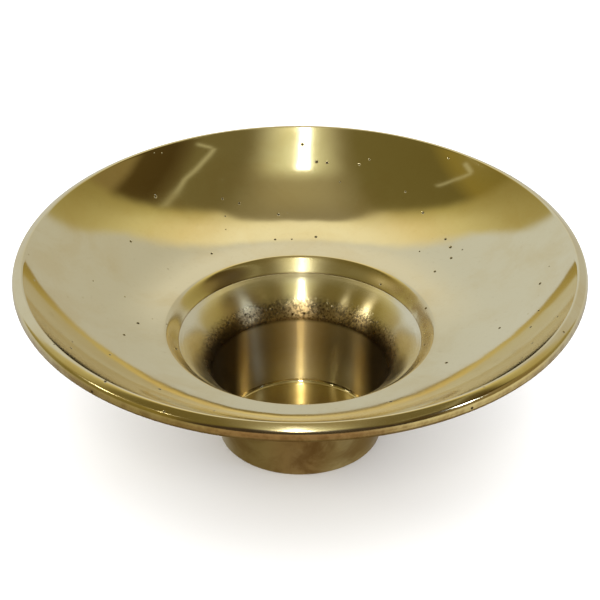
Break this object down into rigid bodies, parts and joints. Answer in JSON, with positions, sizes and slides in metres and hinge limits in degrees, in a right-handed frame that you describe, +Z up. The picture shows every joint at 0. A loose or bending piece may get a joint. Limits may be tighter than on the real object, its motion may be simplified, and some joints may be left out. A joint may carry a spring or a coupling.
{
  "type": "candle holder",
  "caption": "Low brass candle holder: a wide shallow drip dish with a rounded rim, brazed round a deep candle cup whose flat foot it stands on.",
  "frame": {"origin": "centre of the foot's underside, on the surface that the holder stands on", "axes": "+Z up along the holder's axis of revolution, out of the candle cup's mouth; X and Y are equivalent"},
  "size_m": [0.1524, 0.1524, 0.0544],
  "materials": {
    "dish_brass": "polished, lightly tarnished, with small casting pits",
    "cup_brass": "turned bore, as-cast throat, dull tarnished outside",
    "braze": "as-brazed, oxidised brown"
  },
  "bodies": {
    "root": {"drip_dish": "dish_brass", "candle_cup": "cup_brass", "braze_fillet": "braze"}
  },
  "joints": []
}
